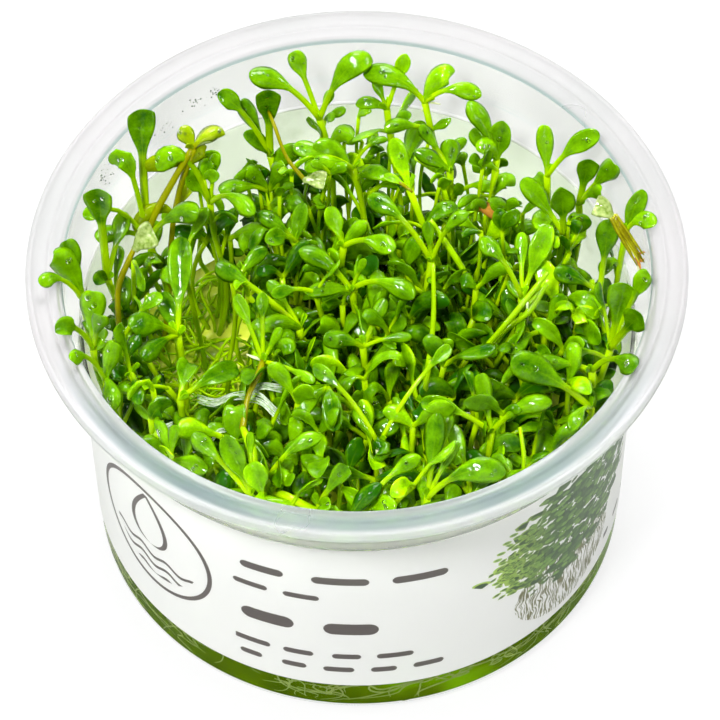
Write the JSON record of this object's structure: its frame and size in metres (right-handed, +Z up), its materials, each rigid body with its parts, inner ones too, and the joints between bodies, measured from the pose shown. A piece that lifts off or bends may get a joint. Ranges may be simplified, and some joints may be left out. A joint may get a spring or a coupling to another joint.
{
  "type": "in vitro aquarium plant cup",
  "caption": "Open clear flanged cup with a wrap label, a nutrient gel layer and a dense stand of small spoon-leaved water plants growing in it.",
  "frame": {"origin": "centre of the cup's foot, on the surface it stands on", "axes": "+Z up along the cup's axis, the label's front faces -Y, +X to its right"},
  "size_m": [0.1, 0.1, 0.0667],
  "materials": {
    "clear_cup": "clear gloss",
    "label_film": "printed film",
    "gel": "clear wet gel",
    "low_growth": "wet leaf",
    "leaf": "glossy wet leaf",
    "old_stem": "wilting stem"
  },
  "bodies": {
    "root": {"cup": "clear_cup", "label": "label_film", "nutrient_gel": "gel", "plantlet_arch_left": "leaf", "plantlet_back_arch": "leaf", "plantlet_back_fork": "leaf", "plantlet_back_pair": "leaf", "plantlet_back_round": "leaf", "plantlet_back_spoon": "leaf", "plantlet_bright_spoon": "leaf", "plantlet_brown_bud": "leaf", "plantlet_brown_tall": "old_stem", "plantlet_centre_back": "leaf", "plantlet_centre_front": "leaf", "plantlet_centre_star": "leaf", "plantlet_double_stem": "leaf", "plantlet_drop_leaf": "leaf", "plantlet_front_horn": "leaf", "plantlet_front_left_arch": "leaf", "plantlet_front_left_big": "leaf", "plantlet_front_old": "leaf", "plantlet_front_star": "leaf", "plantlet_front_tongue": "leaf", "plantlet_front_yellow": "leaf", "plantlet_gap_front": "leaf", "plantlet_gap_left": "leaf", "plantlet_left_dark": "leaf", "plantlet_left_front": "leaf", "plantlet_left_gloss": "leaf", "plantlet_left_low": "leaf", "plantlet_left_reach": "leaf", "plantlet_left_rim": "leaf", "plantlet_left_spoon": "leaf", "plantlet_left_tall": "leaf", "plantlet_long_arch": "leaf", "plantlet_middle_back": "leaf", "plantlet_middle_dark": "leaf", "plantlet_right_arch": "leaf", "plantlet_right_big": "leaf", "plantlet_right_broad": "leaf", "plantlet_right_cup": "leaf", "plantlet_right_fork": "leaf", "plantlet_right_glint": "leaf", "plantlet_right_middle": "leaf", "plantlet_right_rim": "leaf", "plantlet_right_spade": "leaf", "plantlet_right_tall": "leaf", "plantlet_ring_leaf": "leaf", "plantlet_shiny": "leaf", "undergrowth": "low_growth"}
  },
  "joints": []
}
